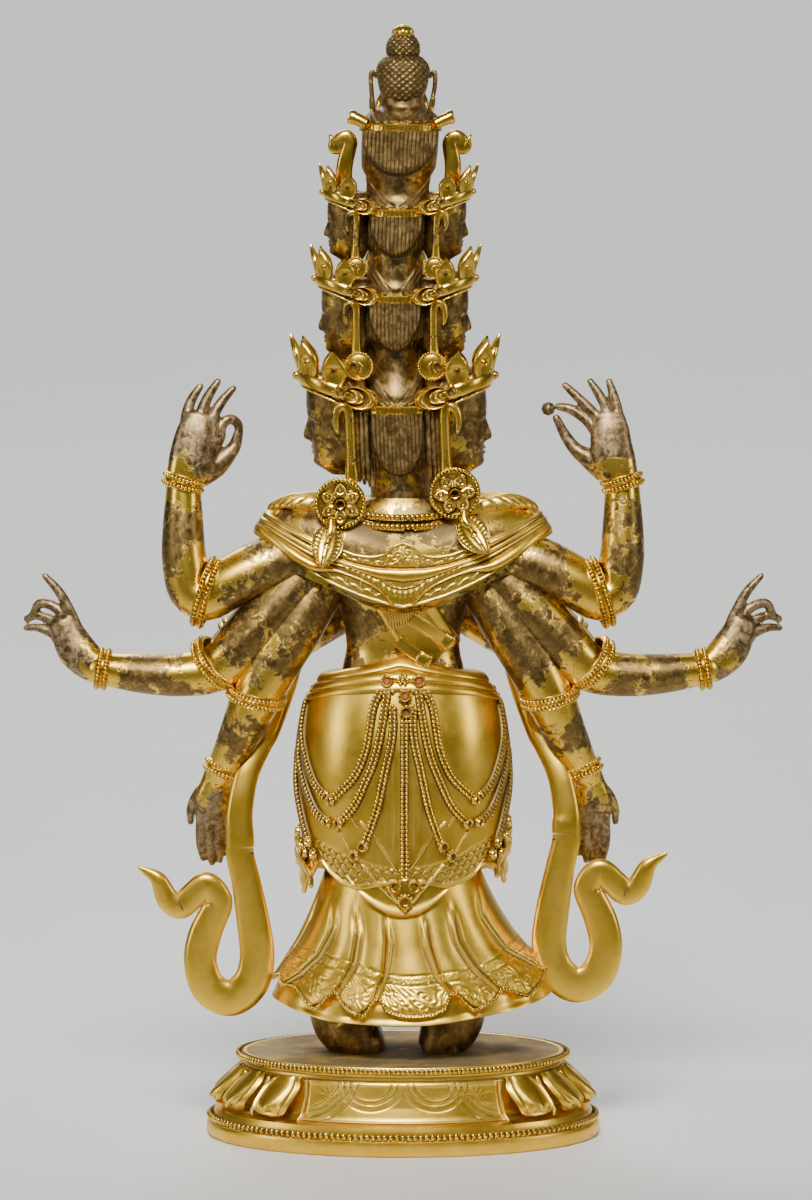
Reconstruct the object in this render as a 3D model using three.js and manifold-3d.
// A gilt bronze figure of the eleven-headed, eight-armed Avalokiteshvara on its oval lotus plinth.
// Millimetres, +Z up. The figure faces -Y, so its back is +Y, and +X is its left side.
import * as THREE from "three";
import { mergeVertices } from "three/addons/utils/BufferGeometryUtils.js";
import Module from "manifold-3d";

const wasm = await Module();
wasm.setup();

// Driving dimensions
const FIGURE_TOP = 360;
const PLINTH_TOP = 27.6;
const PLINTH_DEPTH_SHARE = 0.65; // depth of the oval over its width
const JOINT_GAP = 0.3; // left open where two separate castings touch
const SKIRT_SWAY = -2.2; // the flared hem swings towards the figure's right
const SKIRT_RISE = 0.045; // and climbs on that side, mm per mm
const RIGHT_SCARF_RAISE = 4.5;
const SEAM_LEVEL = 95; // where each scarf end was cast on

const TURN = 2 * Math.PI;
const vec = (x, y, z) => new THREE.Vector3(x, y, z);
const degrees = THREE.MathUtils.degToRad;
const mix = THREE.MathUtils.lerp;
const steps = (count) => Array.from({ length: count }, (_, i) => i);

// The closed surface through rows of points. A row of one point is a pole; any other end row is closed flat.
function skin(rows) {
  const index = [];
  let start = 0;
  for (let r = 1; r < rows.length; r++) {
    const [low, high] = [rows[r - 1], rows[r]];
    const next = start + low.length;
    const count = Math.max(low.length, high.length);
    for (let i = 0; i < count; i++) {
      const j = (i + 1) % count;
      const [a, b] = low.length > 1 ? [start + i, start + j] : [start, start];
      const [c, d] = high.length > 1 ? [next + i, next + j] : [next, next];
      if (a !== b) index.push(a, b, d);
      if (c !== d) index.push(a, d, c);
    }
    start = next;
  }
  for (let i = 1; i < rows[0].length - 1; i++) index.push(0, i + 1, i);
  for (let i = 1; i < rows.at(-1).length - 1; i++) index.push(start, start + i, start + i + 1);
  const geometry = new THREE.BufferGeometry().setFromPoints(rows.flat());
  geometry.setIndex(index);
  return facingOut(geometry);
}

// Turns the faces round if the surface encloses a negative volume.
function facingOut(geometry) {
  const at = geometry.getAttribute("position");
  const index = geometry.index.array;
  const [p, q, s] = [vec(0, 0, 0), vec(0, 0, 0), vec(0, 0, 0)];
  let volume = 0;
  for (let i = 0; i < index.length; i += 3) {
    p.fromBufferAttribute(at, index[i]);
    q.fromBufferAttribute(at, index[i + 1]);
    s.fromBufferAttribute(at, index[i + 2]);
    volume += p.dot(q.cross(s));
  }
  if (volume < 0) {
    for (let i = 0; i < index.length; i += 3) {
      [index[i + 1], index[i + 2]] = [index[i + 2], index[i + 1]];
    }
  }
  return geometry;
}

// One horizontal oval row. Angle 0 is the back, and 90 degrees is the figure's left.
function oval(count, [z, side, back, front = back], tweak = (point) => point) {
  return steps(count).map((i) => {
    const angle = (i / count) * TURN;
    const depth = Math.cos(angle) > 0 ? back : front;
    return tweak(vec(side * Math.sin(angle), depth * Math.cos(angle), z), angle);
  });
}

const stack = (count, rows, tweak) => skin(rows.map((row) => oval(count, row, tweak)));

// The section of a stack at any level, and a point of its surface found by angle or from behind by x.
function sectionAt(rows, z) {
  const ordered = [...rows].sort((a, b) => a[0] - b[0]);
  const above = Math.max(1, ordered.findIndex(([level]) => level >= z));
  const [low, high] = [ordered[above - 1], ordered[above]];
  const share = THREE.MathUtils.clamp((z - low[0]) / (high[0] - low[0]), 0, 1);
  const at = (i) => mix(low[i] ?? low[2], high[i] ?? high[2], share);
  return { side: at(1), back: at(2), front: at(3) };
}

function around(rows, angle, z, lift = 0) {
  const { side, back, front } = sectionAt(rows, z);
  const depth = Math.cos(angle) > 0 ? back : front;
  return [(side + lift) * Math.sin(angle), (depth + lift) * Math.cos(angle), z];
}

function behind(rows, x, z, lift = 0) {
  const { side, back } = sectionAt(rows, z);
  return [x, back * Math.sqrt(Math.max(0, 1 - (x / side) ** 2)) + lift, z];
}

// A limb, finger or ribbon: sections [x, y, z, half width, half thickness] square to the line through them.
// The width lies across `facing`, and each section has the area of its oval.
function limb(stations, sides = 6, facing = vec(0, 1, 0)) {
  const line = stations.map(([x, y, z]) => vec(x, y, z));
  const fill = Math.sqrt(TURN / (sides * Math.sin(TURN / sides)));
  const phase = sides === 4 ? 0.5 : 0;
  return skin(
    stations.map(([, , , wide, thick = wide], i) => {
      const along = vec(0, 0, 0)
        .subVectors(line[Math.min(i + 1, line.length - 1)], line[Math.max(i - 1, 0)])
        .normalize();
      const across = vec(0, 0, 0).crossVectors(along, facing).normalize();
      const out = vec(0, 0, 0).crossVectors(across, along);
      return steps(sides).map((k) => {
        const angle = ((k + phase) / sides) * TURN;
        return line[i]
          .clone()
          .addScaledVector(across, fill * wide * Math.cos(angle))
          .addScaledVector(out, fill * thick * Math.sin(angle));
      });
    }),
  );
}

const moved = (geometry, x, y, z) => geometry.translate(x, y, z);
const mirrored = (geometry) => facingOut(geometry.clone().scale(-1, 1, 1));
const withMirror = (geometries) => [...geometries, ...geometries.map(mirrored)];

function solid(geometry) {
  const bare = geometry.clone();
  bare.deleteAttribute("normal");
  bare.deleteAttribute("uv");
  const merged = mergeVertices(bare, 1e-4);
  return new wasm.Manifold(
    new wasm.Mesh({
      numProp: 3,
      vertProperties: merged.getAttribute("position").array,
      triVerts: new Uint32Array(merged.index.array),
    }),
  );
}

// Slivers left where the solids cross are merged away, up to a tolerance below the finest detail.
const SLIVER = 0.75;
const largest = (manifold) => manifold.decompose().sort((a, b) => b.volume() - a.volume())[0];
const joined = (geometries) => {
  const whole = geometries.map(solid).reduce((sum, piece) => sum.add(piece));
  return largest(whole.asOriginal().simplify(SLIVER));
};

function meshOf(name, manifold, material) {
  const { vertProperties, triVerts } = manifold.getMesh();
  const geometry = new THREE.BufferGeometry();
  geometry.setAttribute("position", new THREE.BufferAttribute(vertProperties, 3));
  geometry.setIndex(new THREE.BufferAttribute(triVerts, 1));
  const mesh = new THREE.Mesh(geometry, material);
  mesh.name = name;
  return mesh;
}

// Plinth: an oval lotus foot with two beaded rims, petals round the front and sides, and a plain panel behind.
const PLINTH_PROFILE = [
  [0, 0],
  [63.5, 0],
  [64.5, 5.4],
  [62.8, 6],
  [63.9, 7.6],
  [62.2, 9.4],
  [57.5, 10.4],
  [52.9, 24.8],
  [54.2, 27],
  [53, 28.4],
  [51.6, PLINTH_TOP],
  [0, PLINTH_TOP],
];
const PLINTH_SEGMENTS = 26;
const PETAL_COUNT = 15;
const PANEL_HALF_ANGLE = degrees(35.3);

function plinthBody() {
  const profile = PLINTH_PROFILE.map(([r, z]) => new THREE.Vector2(r, z));
  const lathe = new THREE.LatheGeometry(profile, PLINTH_SEGMENTS);
  lathe.rotateX(Math.PI / 2);
  return lathe.scale(1, PLINTH_DEPTH_SHARE, 1);
}

// One petal lies on the flare: a blunt tongue, rolled over at its tip.
function petal(angle) {
  const halfWidth = 7;
  const stations = [
    // radius, level, share of the width
    [53, 23.6, 0.6],
    [58.6, 20, 0.98],
    [63.2, 14.4, 0.8],
    [60.4, 10.6, 0.4],
  ];
  const out = vec(Math.sin(angle), PLINTH_DEPTH_SHARE * Math.cos(angle), 0);
  const along = vec(Math.cos(angle), -PLINTH_DEPTH_SHARE * Math.sin(angle), 0);
  const rows = stations.map(([radius, z, share]) => {
    const edge = out.clone().multiplyScalar(radius - 3.4).setZ(z - 0.8);
    return [
      edge.clone().addScaledVector(along, halfWidth * share),
      out.clone().multiplyScalar(radius).setZ(z),
      edge.clone().addScaledVector(along, -halfWidth * share),
      out.clone().multiplyScalar(48).setZ(z - 1),
    ];
  });
  return skin(rows);
}

function plinthGeometries() {
  const pitch = (TURN - 2 * PANEL_HALF_ANGLE) / PETAL_COUNT;
  return [plinthBody(), ...steps(PETAL_COUNT).map((i) => petal(PANEL_HALF_ANGLE + pitch * (i + 0.5)))];
}

// Feet, turned out, under two round ankles.
function foot() {
  const sole = PLINTH_TOP + JOINT_GAP;
  const ankle = limb([[13.4, 1, 60, 8.6], [13.4, 0, 44, 8.4], [13.4, 0, 34, 7.6], [13, 0, 29.4, 6.8]]);
  const sections = [
    // x, y, half width, rise
    [11.4, 7.4, 4.4, 5],
    [12.6, 2, 6.6, 9],
    [16, -7, 6.4, 8],
    [21, -18, 6.6, 4.8],
    [24, -25, 5, 2.6],
  ];
  const upper = skin(
    sections.map(([x, y, half, rise]) => [
      vec(x - half, y - 0.4 * half, sole),
      vec(x - 0.6 * half, y - 0.3 * half, sole + rise),
      vec(x + 0.6 * half, y + 0.3 * half, sole + rise),
      vec(x + half, y + 0.4 * half, sole),
    ]),
  );
  return [ankle, upper];
}

// The long skirt flares from the knees to a scalloped hem, with a plain lining showing below it.
const PLEATS = 12;
const HEM_SAG = 5.4; // how far the hem hangs lower at the back and front than at the sides
const SKIRT_ROWS = [
  // level, half width, back, front, share of the hem's swing
  [88, 25, 19, 17, 0],
  [77, 29.4, 22.4, 20, 0.2],
  [66, 35, 25.6, 23, 0.5],
  [57, 40.6, 28.8, 26.4, 0.8],
  [49.8, 44.6, 31.2, 29, 1],
];

function swinging(swing, scallop = 0) {
  return (point, angle) => {
    const lobe = Math.abs(Math.cos((angle * PLEATS) / 2));
    const swell = 1 + 0.06 * swing * (lobe - 0.6);
    const sag = HEM_SAG * swing * Math.cos(angle) ** 2;
    const z = point.z - sag - scallop * lobe - SKIRT_RISE * point.x * swing;
    return vec(point.x * swell + SKIRT_SWAY * swing, point.y * swell, z);
  };
}

function longSkirt() {
  const count = 2 * PLEATS;
  const rows = SKIRT_ROWS.map(([z, side, back, front, swing]) =>
    oval(count, [z, side, back, front], swinging(swing, swing === 1 ? 2.6 : 0)),
  );
  const shifted = (z, side, back, front) => oval(count, [z, side, back, front], swinging(1));
  const lining = [shifted(49.6, 43.6, 30.2, 28), shifted(46.4, 44, 30.6, 28.4), shifted(47.6, 40, 26.6, 24.6)];
  return skin([[vec(0, 0, 92)], ...rows, ...lining, oval(count, [58, 24, 14, 14]), [vec(0, 0, 60)]]);
}

// The overskirt and its folded belt close round the hips; its hem hangs in three lobes at the back.
const HIP_LOBES = 3;
const HIP_ROWS = [
  [156.4, 20, 12.4, 12],
  [151, 26, 16.6, 15],
  [145.6, 28.8, 18.4, 16.6],
  [143.8, 29.2, 18.6, 16.8],
  [130, 33.8, 21.8, 19],
  [117, 35, 23, 19.6],
  [100, 34.2, 22.8, 19.8],
  [88, 32.4, 23.4, 20.6],
];

function lobed(point, angle) {
  const lobe = Math.abs(Math.cos((angle * HIP_LOBES) / 2));
  const drop = 7 * lobe * (0.35 + 0.65 * Math.max(0, Math.cos(angle)));
  return point.setZ(point.z - drop);
}

function overskirt() {
  const count = 24;
  const hem = oval(count, [83.4, 32, 25.6, 22.6], lobed);
  const under = oval(count, [84.6, 27, 20.6, 18.6], lobed);
  const rows = HIP_ROWS.map((row) => oval(count, row));
  return skin([[vec(0, 2, 161)], ...rows, hem, under, [vec(0, 0, 92)]]);
}

// Strands of beads hang in loops from the belt, joined by a clasp and a middle strand with a pendant.
function strand(fromDegrees, toDegrees, top, low) {
  const count = 6;
  const stations = steps(count + 1).map((i) => {
    const share = i / count;
    const dip = Math.sin(Math.PI * share) ** 0.8;
    const angle = degrees(mix(fromDegrees, toDegrees, share));
    return [...around(HIP_ROWS, angle, mix(top, low, dip), 0.2), 1.5, 1.3];
  });
  return limb(stations, 4);
}

function beadStrands() {
  const down = (x, z, wide, thick = 1.4) => [...behind(HIP_ROWS, x, z, 0.2), wide, thick];
  const middle = limb([down(-0.6, 146, 1.6), down(-0.6, 118, 1.4), down(-0.6, 84, 1.5)], 4);
  const clasp = limb([down(0, 151, 4.6, 2), down(0, 143, 3, 2), down(0, 137, 1.2, 1.6)], 4);
  const trefoil = limb([down(-0.6, 85, 1.2, 2.4), down(-0.6, 81, 3.6, 3), down(-0.6, 77.4, 1, 2.6)], 4);
  return [middle, clasp, trefoil, ...withMirror([strand(10, 84, 144, 111), strand(5, 94, 144, 92)])];
}

// The bare trunk rises from the belt to the neck.
const TRUNK_ROWS = [
  [150, 20, 12, 12],
  [160, 18.3, 10.8, 11.4],
  [170, 19.8, 11.8, 13.2],
  [182, 25, 14, 15.4],
  [194, 34, 15, 15.6],
  [203, 30, 12.6, 12.4],
  [208, 12, 10, 9.4],
];

// The shawl lies over both shoulders: its hem is lowest at the middle of the back.
function shawl() {
  const hanging = (drop) => (point, angle) => {
    const fall = Math.cos(angle) > 0 ? 1 - Math.abs(Math.sin(angle)) ** 1.4 : 0;
    return point.setZ(point.z - drop * fall);
  };
  const row = (size, drop) => oval(18, size, hanging(drop));
  return skin([
    row([203.4, 17, 13.2, 11.4], 2),
    row([207, 31, 15.4, 13], 11),
    row([202, 44.6, 17, 14.6], 15),
    row([190, 47, 18, 15], 16),
    row([190.4, 40, 14, 12], 15),
  ]);
}

// A slung sash crosses the back from the shawl to the belt, and a small hoof hangs beside it.
function sash() {
  const on = (x, z, wide) => [...behind(TRUNK_ROWS, x, z, 0.4), wide, 1.5];
  return [
    limb([on(12, 178, 4), on(2, 168, 5), on(-8, 158, 4.4)], 4),
    limb([on(-3, 168, 2.2), on(-9, 163, 1.8), on(-13.6, 161.4, 1.4)], 4),
  ];
}

// Arms. Each line runs from shoulder to wrist; the armlet and bracelet are short rings round it.
const ARMS = {
  raised: {
    line: [
      [30, 3, 190, 8.6],
      [44, 5, 184, 8.8],
      [57, 6, 178, 8.2],
      [66, 6, 174, 7.4],
      [70.6, 5.5, 181, 7.2],
      [71.6, 5, 192, 7],
      [71, 3, 212, 5.6],
    ],
    armlet: [61.5, 6, 176, 9.6, 0.93, -0.36],
    bracelet: [71.2, 3.4, 209, 6.8, 0, 1],
  },
  spread: {
    line: [
      [28, 2, 186, 8.4],
      [40, 4, 174, 8.8],
      [52, 5, 161, 8.8],
      [60.6, 5, 153.2, 7.8],
      [71, 5, 151.2, 7],
      [84, 4.4, 151.4, 6.6],
      [98, 3, 153, 5.7],
    ],
    armlet: [57, 5, 156.4, 9.8, 0.74, -0.68],
    bracelet: [97, 3, 152.8, 6.8, 0.98, 0.15],
  },
  lowered: {
    line: [
      [24, 2, 184, 7.6],
      [33, 4, 169, 8.6],
      [42, 5, 155, 9],
      [47.4, 5, 144, 8.2],
      [52, 3, 133, 7],
      [59.6, -3, 117, 5.2],
    ],
    armlet: [45.6, 5, 148, 9.8, 0.42, -0.9],
    bracelet: [58.4, -2, 119.6, 6.4, 0.36, -0.93],
  },
};

// A ring whose axis is (axisX, axisZ), standing proud of the arm.
function ring([x, y, z, radius, axisX, axisZ]) {
  const [dx, dz] = [1.4 * axisX, 1.4 * axisZ];
  return limb([[x - dx, y, z - dz, radius], [x + dx, y, z + dz, radius]]);
}

// A hand from its palm and its fingers: each finger runs from knuckle to tip through [x, y, z, half width].
function hand(palm, fingers) {
  return [limb(palm), ...fingers.map((points) => limb(points.map(([x, y, z, wide]) => [x, y, z, wide, 1.4]), 4))];
}

const HANDS = {
  // The thumb and first finger close in a ring, the other three stand up.
  raised: hand(
    [
      [71, 3, 210, 4.8, 4],
      [68, 3, 221, 7.2, 3.8],
      [65, 2.5, 234.6, 5.4, 2.2],
    ],
    [
      [[68.6, 2.5, 231, 1.6], [69, 1, 237.4, 1.5], [65.4, 0, 245.6, 1.1]],
      [[65.2, 2.5, 232, 1.6], [64.2, 1.6, 239, 1.5], [59.4, 1, 246.1, 1.1]],
      [[62, 2.5, 232, 1.6], [60, 1.6, 238.4, 1.5], [55.2, 0.6, 244.4, 1.1]],
      [[61.6, 2.5, 231, 1.6], [54.2, 1, 234, 1.4], [51.2, 0, 229, 1.2]],
      [[65, 2, 215, 2], [57, 0, 219, 1.7], [51, 0, 228, 1.2]],
    ],
  ),
  // The first finger points up, the rest curl over the palm.
  spread: hand(
    [
      [96, 3, 152.6, 5, 4.2],
      [104.4, 2.4, 157.6, 6.4, 4.2],
      [110, 1.4, 168, 5.2, 3.2],
    ],
    [
      [[105, 1.6, 167, 1.6], [110, 1.4, 176, 1.5], [115.4, 1, 182.4, 1.1]],
      [[108, 0.6, 170, 1.6], [115, -1, 174, 1.5], [119.8, -2, 169.8, 1.3]],
      [[108, 0, 161, 3], [116, -2, 165.4, 2.6], [122, -3, 167.4, 1.6]],
      [[104, 0, 156, 2], [111.6, -2, 161, 1.5], [114.4, -3.4, 166, 1.2]],
    ],
  ),
  // Open, with the fingers together and pointing down.
  lowered: hand(
    [
      [59.4, -3, 119, 4.8, 4],
      [62, -4, 110, 5.8, 3.2],
      [62.4, -4, 100.6, 5.4, 2],
    ],
    [
      [[65.2, -4, 104, 2], [65.6, -4.2, 96, 2], [65, -4.6, 89.6, 1.2]],
      [[61.4, -4, 104, 2], [61.2, -4.2, 96, 2], [61, -5, 88.8, 1.2]],
      [[58.4, -4, 106, 1.5], [57.2, -4.6, 98, 1.4], [57.2, -5, 91, 1]],
      [[64, -4.4, 113, 2], [68.4, -6, 107, 1.5], [69.2, -6.6, 101.4, 1.1]],
    ],
  ),
};

// The front pair: elbows out, forearms drawn in, palms pressed together before the chest.
function prayingArm() {
  const inward = vec(0, 0.3, 1);
  return [
    limb([[30, -4, 190, 8], [46, -9, 168, 8.6], [57, -12.4, 152.6, 8.2]]),
    limb([[60.6, -12, 151.6, 6], [50, -19, 152, 7], [32, -26, 160.4, 6.2], [13, -32, 169.6, 5.2]], 6, inward),
    limb([[50.4, -10.4, 162, 9.6], [52, -10.9, 159.8, 9.6]]),
    limb([[19, -30, 167, 6.4], [16.4, -30.9, 168.2, 6.4]], 6, inward),
    limb(
      [[15, -31.6, 169, 4.8, 4], [7.6, -33.6, 173.6, 5.4, 4], [2.6, -34.6, 184, 5.2, 3.2], [1.2, -34, 198, 1.8, 1.6]],
      6,
      vec(1, 0, 0.1),
    ),
  ];
}

function armGeometries() {
  const leftSide = Object.entries(ARMS).flatMap(([name, { line, armlet, bracelet }]) => [
    limb(line),
    ring(armlet),
    ring(bracelet),
    ...HANDS[name],
  ]);
  const bead = moved(mergeVertices(new THREE.OctahedronGeometry(2.4).deleteAttribute("normal")), -49.4, -0.4, 230);
  return [...withMirror([...leftSide, ...prayingArm()]), bead];
}

// Scarves hang from the front forearms, swing out and down, and end in a curled tail.
const SCARF_LINE = [
  // x, y, z, half width
  [35, -22, 164, 3.4],
  [37, -14, 150, 3.6],
  [42.6, -4.8, 132.6, 3.1],
  [46.4, -1.4, 126.4, 3.5],
  [50.8, 1.6, 117.6, 4],
  [53, 3.4, 106, 4.4],
];
const SCARF_LOOP = [
  [50.8, 4, 83, 4.8],
  [48.4, 4, 69, 5.5],
  [47.4, 4, 58.4, 5.7],
  [49.6, 4, 50, 5.9],
  [56, 4, 45.2, 6],
  [63, 4, 48.6, 5.8],
  [65.8, 4, 57, 5.4],
  [64.4, 4, 65.6, 5.4],
  [60.6, 4, 74.4, 4.8],
];
const SCARF_TAIL = [
  [63.4, 4, 68, 4.6],
  [59.6, 4, 76.6, 4.4],
  [63.6, 4, 82.4, 4.2],
  [68.4, 4, 78.6, 4.4],
  [72.4, 4, 75.4, 4.2],
  [76.4, 4, 78, 3.8],
  [79.6, 4, 84.4, 2.6],
  [85.2, 4, 88, 0.7],
];
const SCARF_THICKNESS = 2.4;
// Both sides of the seam run straight down, so that the cast faces lie level.
const SEAM_STRAIGHT = 3;
const seam = (z) => [52.8, 4, z, 4.6];
const ribbon = (line) => limb(line.map(([x, y, z, wide]) => [x, y, z, wide, SCARF_THICKNESS]), 4);

function scarfTop(raise) {
  const level = SEAM_LEVEL + JOINT_GAP / 2 + raise;
  return ribbon([...SCARF_LINE, seam(level + SEAM_STRAIGHT), seam(level)]);
}

// The end casting stays clear of the rest, and of the skirt's corner in particular, by the joint gap.
function scarfEnd(raise, rest) {
  const level = SEAM_LEVEL - JOINT_GAP / 2;
  const loop = ribbon([seam(level), seam(level - SEAM_STRAIGHT), ...SCARF_LOOP]);
  const whole = joined([loop, ribbon(SCARF_TAIL)]).translate([0, 0, raise]);
  const grown = rest.scale([1 + JOINT_GAP / 40, 1 + JOINT_GAP / 20, 1]);
  const clearance = grown.translate([0, 0, JOINT_GAP]).add(grown.translate([0, 0, -JOINT_GAP]));
  return largest(whole.subtract(clearance));
}

// Heads. All sizes are shares of the face height, chin to hairline. A head looks to -Y from its ear axis.
const FACE_ROWS = [
  // height, half width, front, back of the head, how far the profile's ridge stands out
  [-0.04, 0.2, 0.22, 0.2, 0],
  [0.04, 0.26, 0.36, 0.28, 0.03],
  [0.19, 0.34, 0.4, 0.34, 0.06],
  [0.36, 0.38, 0.42, 0.36, 0.17],
  [0.6, 0.4, 0.45, 0.38, 0.04],
  [0.8, 0.41, 0.49, 0.4, 0.02],
  [1.14, 0.37, 0.46, 0.38, 0],
];
const FACE_COLUMNS = [-145, -80, -26, 0, 26, 80, 145];

function head(face) {
  return skin(
    FACE_ROWS.map(([height, side, front, back, ridge]) =>
      FACE_COLUMNS.map((turn) => {
        const angle = degrees(turn);
        const depth = (Math.cos(angle) > 0 ? front : back) * Math.cos(angle) + (turn === 0 ? ridge : 0);
        return vec(side * Math.sin(angle), -depth, height).multiplyScalar(face);
      }),
    ),
  );
}

// A long ear: the curled top leans forward over a straight drooping lobe.
function ear(face, side) {
  const stations = [
    [0.41, -0.03, 0.74, 0.1],
    [0.43, 0.11, 0.72, 0.09],
    [0.43, 0.1, -0.12, 0.07],
  ];
  return limb(
    stations.map(([x, y, z, half]) => [side * x * face, y * face, z * face, half * face]),
    4,
    vec(1, 0, 0),
  );
}

// The crown: a band round the brow, higher in front, with five pointed leaves leaning out.
const CROWN_LEAVES = 5;

function crown(face) {
  const spread = degrees(44);
  const columns = steps(2 * CROWN_LEAVES + 1).map((i) => {
    const isLeaf = i % 2 === 1;
    const angle = ((i - CROWN_LEAVES) / 2) * spread;
    const at = (radius, height) => {
      const forward = radius * Math.cos(angle);
      return vec(0.94 * radius * Math.sin(angle), -forward, 0.9 + height + 0.36 * forward).multiplyScalar(face);
    };
    const top = isLeaf ? [at(0.68, 0.46), at(0.6, 0.46)] : [at(0.66, 0.1), at(0.4, 0.08)];
    return [at(0.58, -0.08), ...top];
  });
  return skin(columns);
}

// A ribbon bow reaches back from the crown over the end of the hair band.
function bow(face, side, out) {
  return limb([
    [side * (out + 0.16) * face, 0.42 * face, 0.97 * face, 0.07 * face],
    [side * (out - 0.1) * face, 0.5 * face, 0.93 * face, 0.13 * face, 0.09 * face],
    [side * (out - 0.36) * face, 0.5 * face, 0.83 * face, 0.05 * face],
  ]);
}

function disc(x, y, z, radius) {
  return limb([[x, y - 1.2, z, radius], [x, y + 1.6, z, radius]], 8, vec(0, 0, 1));
}

// The tower of heads bows a little towards the figure's left.
const TOWER = { foot: 195, top: 340, bow: 2.6 };

function bowed(geometry) {
  const at = geometry.getAttribute("position");
  for (let i = 0; i < at.count; i++) {
    const share = THREE.MathUtils.clamp((at.getZ(i) - TOWER.foot) / (TOWER.top - TOWER.foot), 0, 1);
    at.setX(i, at.getX(i) + TOWER.bow * Math.sin(Math.PI * share));
  }
  return geometry;
}

// Three tiers have three heads each. `reach` is the distance of the side heads' ears from the axis.
const TIERS = [
  { chin: 217.8, face: 25.3, reach: 17.2, ringed: [18.6, 209.5, 8] },
  { chin: 254.6, face: 20.6, reach: 14, ringed: [13.4, 249.8, 5.4] },
  { chin: 286, face: 17.4, reach: 14.2, ringed: [14, 282.3, 3.6] },
];

function tier({ chin, face, reach, ringed: [discX, discZ, radius] }) {
  const heads = [
    [Math.PI / 2, reach, 0],
    [-Math.PI / 2, -reach, 0],
    [0, 0, -0.5 * face],
  ];
  const placed = heads.flatMap(([azimuth, x, y]) => {
    const outerEar = azimuth === 0 ? [ear(face, 1), ear(face, -1)] : [ear(face, Math.sign(x))];
    return [head(face), crown(face), ...outerEar].map((geometry) => moved(geometry.rotateZ(azimuth), x, y, chin));
  });
  const sides = [1, -1].flatMap((side) => [
    moved(bow(face, side, reach / face), 0, 0, chin),
    disc(side * discX, 0.43 * face, discZ, radius),
  ]);
  return [...placed, ...sides];
}

// The core behind the faces: necks, backs of heads and hair bands, one above another.
const CORE_ROWS = [
  [200, 10, 9.8],
  [216, 9.8, 9.6],
  [222, 12.6, 11.6],
  [235.2, 13, 12.8],
  [235.4, 14, 13.8],
  [238.9, 14, 13.8],
  [246, 8, 8.2],
  [256, 7.8, 8],
  [260, 10.4, 9.6],
  [270.8, 11, 10.6],
  [271, 11.6, 11.4],
  [274, 11.6, 11.4],
  [279, 7.6, 7.8],
  [286, 8, 8],
  [290, 9.6, 9],
  [298.2, 10, 9.8],
  [298.4, 10.8, 10.6],
  [301.7, 10.8, 10.6],
  [306, 8, 7.6],
  [315, 12.2, 9.8],
  [325.4, 12.4, 10.6],
  [325.6, 13, 11.4],
  [328.9, 13, 11.4],
  [334, 6.4, 5.8],
  [338, 6.4, 5.8],
];

// Combed hair hangs below each band in a tongue with a rounded end.
function hairTongue(top, low, half, back) {
  const rows = [0, 0.22, 1].map((share) => {
    const wide = half * Math.sqrt(1 - (1 - share) ** 2) + 1;
    const z = mix(low, top, share);
    const ends = [1, 0.45, -0.45, -1].map((across) => vec(across * wide, back + 1.4 - 1.8 * across ** 2, z));
    return [...ends, vec(0, back - 5, z)];
  });
  return skin(rows);
}

function hairTongues() {
  const lock = limb([[12.6, 9.4, 236, 2.6, 2.2], [12.8, 10.2, 226, 2.7, 2.2], [12.4, 9.6, 213.6, 2, 1.8]], 4);
  return [
    hairTongue(235.6, 217.5, 8.4, 13),
    hairTongue(271, 256.8, 9, 10.6),
    hairTongue(299, 287.1, 8.4, 9.8),
    hairTongue(325.6, 313.5, 11.6, 10.6),
    ...withMirror([lock]),
  ];
}

// The fourth tier is a single head with ribbons flying up beside it.
function fourthHead() {
  const face = 20;
  const flying = limb(
    [
      [18, 1, 308.6, 2, 1.8],
      [18, 1, 314.6, 2.2, 1.8],
      [15.6, 1, 319.6, 2.3, 1.8],
      [16.4, 1, 323.4, 2.1, 1.8],
      [19.4, 1, 321.8, 2, 1.8],
      [21.8, 1, 323.6, 0.9, 0.9],
    ],
    4,
  );
  const stay = limb([[9, 0, 306.6, 2, 1.6], [18.8, 1, 310.4, 2, 1.6]], 4);
  const knot = limb([[11, 2, 329, 2, 1.8], [16.8, 2, 330.6, 2.2, 2]], 4);
  const pieces = [head(face), crown(face), ear(face, 1), ear(face, -1)];
  return [...pieces.map((geometry) => moved(geometry, 0, -4.5, 308)), ...withMirror([flying, stay, knot])];
}

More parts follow.
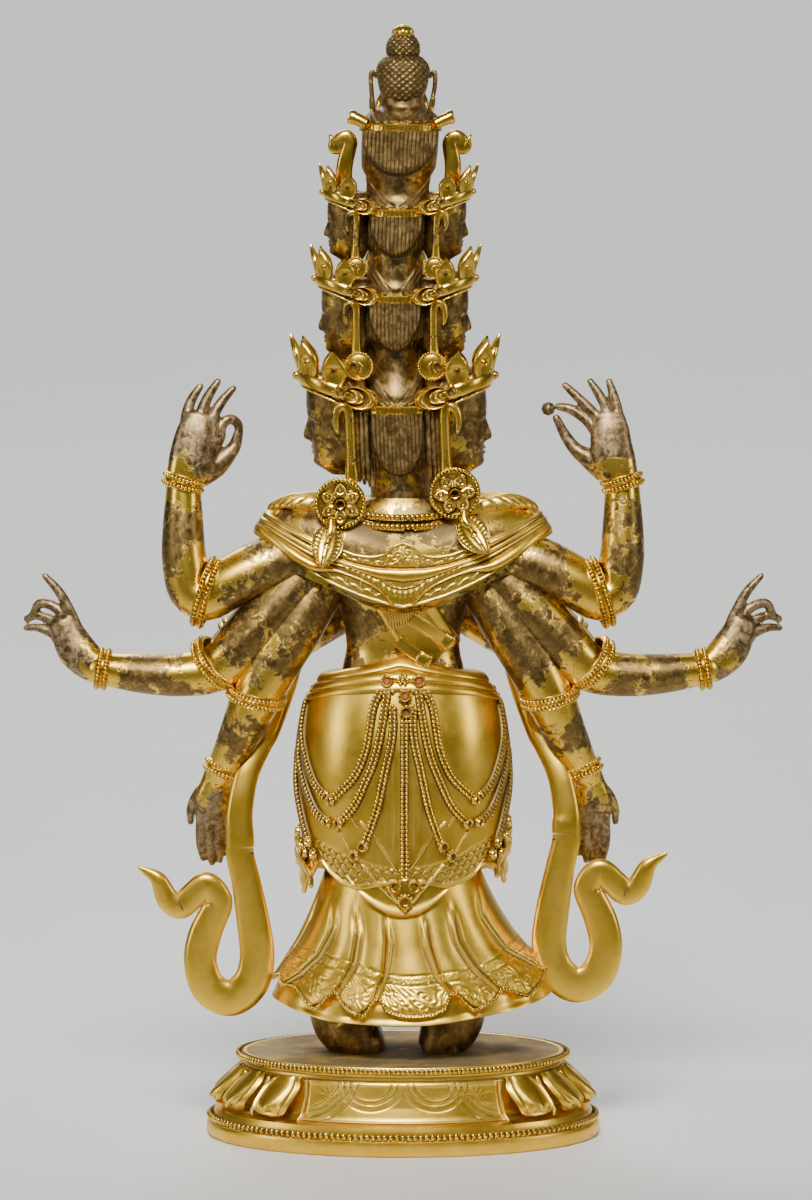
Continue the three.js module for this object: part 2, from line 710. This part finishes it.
// The topmost head is a plain Buddha's, with a cap of curls, a topknot and a jewel.
function topHead() {
  const face = 15;
  const cap = stack(10, [
    [334, 4, 5, 3],
    [340, 8.3, 8, 5],
    [346, 8.1, 7.6, 7.4],
    [350, 5, 4.8],
    [353, 4.9, 4.8],
    [356.4, 2.8, 2.8],
    [356.8, 3.6, 3.6],
    [359.2, 3.2, 3.2],
    [FIGURE_TOP, 1.8, 1.8],
  ]);
  const lobe = limb([[7.4, 0, 343.6, 1.4], [9.8, 0.6, 344.6, 1.1], [9.6, 1, 338, 1.2], [8, 1, 334, 1.2]], 4);
  return [cap, moved(head(face), 0, 0, 331), ...withMirror([lobe])];
}

// A necklace and the hanging ends of the belt dress the front.
function frontDress() {
  const necklace = limb(
    [[-15, -11, 202, 1.8], [-9, -15, 194, 2.2], [0, -15.6, 188, 3.4], [9, -15, 194, 2.2], [15, -11, 202, 1.8]],
    4,
    vec(0, 1, 0.3),
  );
  const apron = limb([[0, -15, 148, 4.4, 2.4], [0, -19.6, 118, 4.2, 2.4], [0, -21, 90, 5, 2.4], [0, -27, 52, 7, 2.4]], 4);
  return [necklace, apron];
}

function figure() {
  const tower = [...TIERS.flatMap(tier), stack(10, CORE_ROWS), ...hairTongues(), ...fourthHead(), ...topHead()];
  const heads = tower.map(bowed);
  const body = [stack(14, TRUNK_ROWS), shawl(), ...sash(), ...armGeometries(), ...frontDress()];
  const dress = [overskirt(), ...beadStrands(), longSkirt(), ...withMirror(foot())];
  const scarves = [scarfTop(0), mirrored(scarfTop(RIGHT_SCARF_RAISE))];
  return joined([...heads, ...body, ...dress, ...scarves]);
}

const gold = new THREE.MeshStandardMaterial({ color: 0xd4a23c, roughness: 0.32, metalness: 1 });
const body = figure();
const rightEnd = scarfEnd(RIGHT_SCARF_RAISE, body.mirror([1, 0, 0])).mirror([1, 0, 0]);

const avalokiteshvara = new THREE.Group();
avalokiteshvara.add(
  meshOf("plinth", joined(plinthGeometries()), gold.clone()),
  meshOf("figure", body, gold.clone()),
  meshOf("scarf_end_left", scarfEnd(0, body), gold.clone()),
  meshOf("scarf_end_right", rightEnd, gold.clone()),
);

export default avalokiteshvara;
